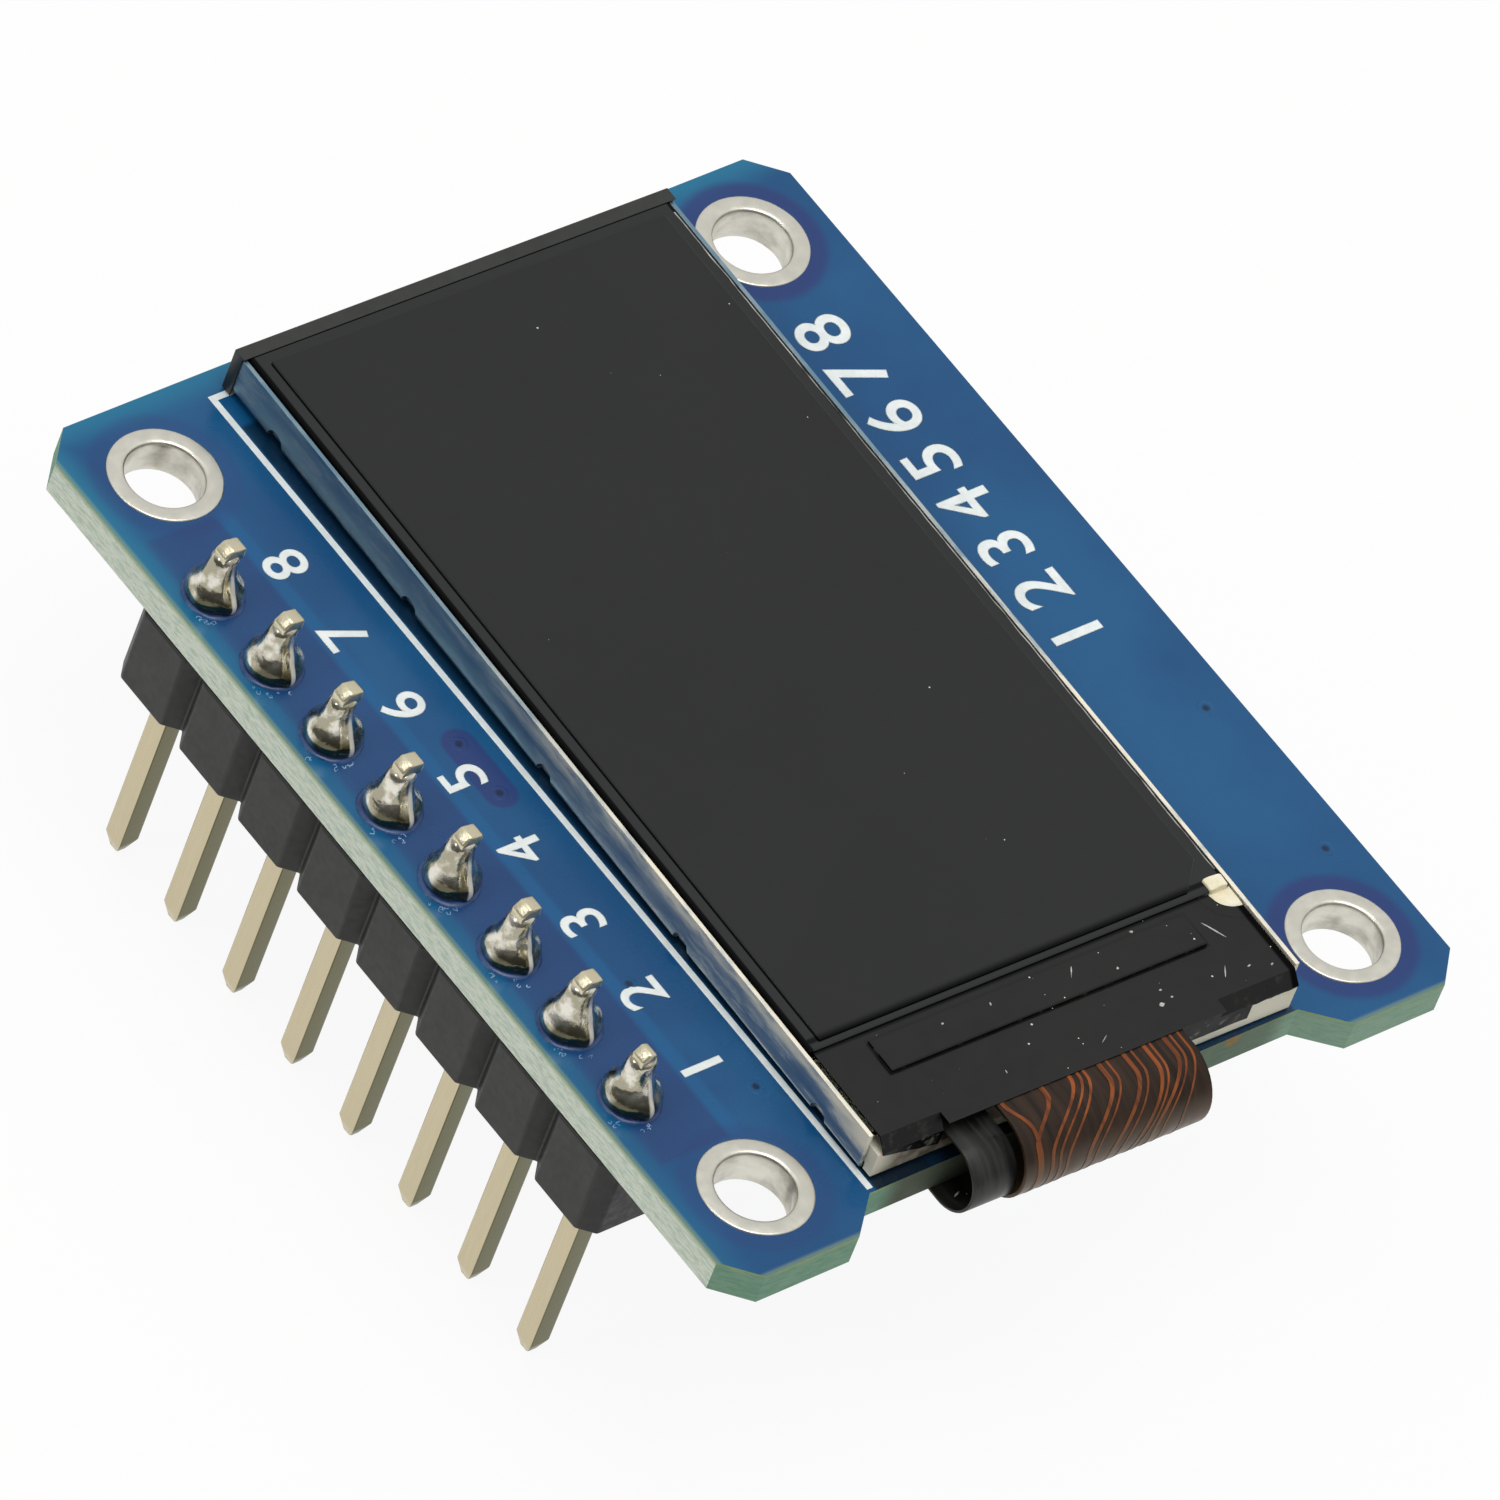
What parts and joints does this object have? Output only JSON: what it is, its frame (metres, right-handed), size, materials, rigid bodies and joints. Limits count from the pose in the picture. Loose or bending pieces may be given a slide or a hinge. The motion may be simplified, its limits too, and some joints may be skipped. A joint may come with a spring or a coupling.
{
  "type": "small display module",
  "caption": "Colour display panel in a pressed steel tray on a blue breakout board with corner mounting holes, a soldered pin header along one side and a flex tail folded round one end.",
  "frame": {"origin": "centre of the four mounting holes, on the underside of the board", "axes": "+Z out of the screen; +Y along the board towards the end away from the flex tail; the header runs along the -X edge"},
  "size_m": [0.0241, 0.0307, 0.0118],
  "materials": {
    "board": "blue solder mask, semi-gloss",
    "tinned": "tinned copper",
    "header_plastic": "moulded, matt",
    "pin_metal": "pale flash plating",
    "solder": "bright solder",
    "foam": "foam",
    "tray_steel": "bright rolled sheet",
    "white_plastic": "moulded",
    "white_film": "smooth film",
    "clear_acrylic": "polished",
    "clear_film": "ribbed film",
    "lamp": "moulded, phosphor face",
    "flex_film": "film over copper tracks",
    "black_tape": "matt film",
    "polariser": "anti-glare film",
    "panel_glass": "polished, cut edges",
    "silicon": "polished",
    "paste": "dried paste",
    "package": "moulded, fine matt",
    "resistor": "glazed top",
    "capacitor": "fired"
  },
  "bodies": {
    "root": {"circuit_board": "board", "hole_plating": "tinned", "pin_hole_plating": "tinned", "header_strip": "header_plastic", "header_pin_1": "pin_metal", "header_pin_2": "pin_metal", "header_pin_3": "pin_metal", "header_pin_4": "pin_metal", "header_pin_5": "pin_metal", "header_pin_6": "pin_metal", "header_pin_7": "pin_metal", "header_pin_8": "pin_metal", "solder_joint_1": "solder", "solder_joint_2": "solder", "solder_joint_3": "solder", "solder_joint_4": "solder", "solder_joint_5": "solder", "solder_joint_6": "solder", "solder_joint_7": "solder", "solder_joint_8": "solder", "foam_tape": "foam", "steel_tray": "tray_steel", "light_frame": "white_plastic", "reflector_film": "white_film", "light_guide": "clear_acrylic", "diffuser_film": "white_film", "lower_prism_film": "clear_film", "upper_prism_film": "clear_film", "backlight_lamp": "lamp", "lamp_flex": "flex_film", "rim_tape": "black_tape", "rear_polariser": "polariser", "pixel_glass": "panel_glass", "colour_glass": "panel_glass", "front_polariser": "polariser", "driver_chip": "silicon", "ground_paste": "paste", "flex_tail": "flex_film", "ledge_tape": "black_tape", "end_tape": "black_tape", "flex_pads": "tinned", "flex_solder": "solder", "regulator_body": "package", "regulator_leads": "tinned", "transistor_body": "package", "transistor_leads": "tinned", "chip_resistors": "resistor", "chip_capacitors": "capacitor", "chip_part_ends": "tinned", "part_pads": "tinned", "part_solder": "solder"}
  },
  "joints": []
}
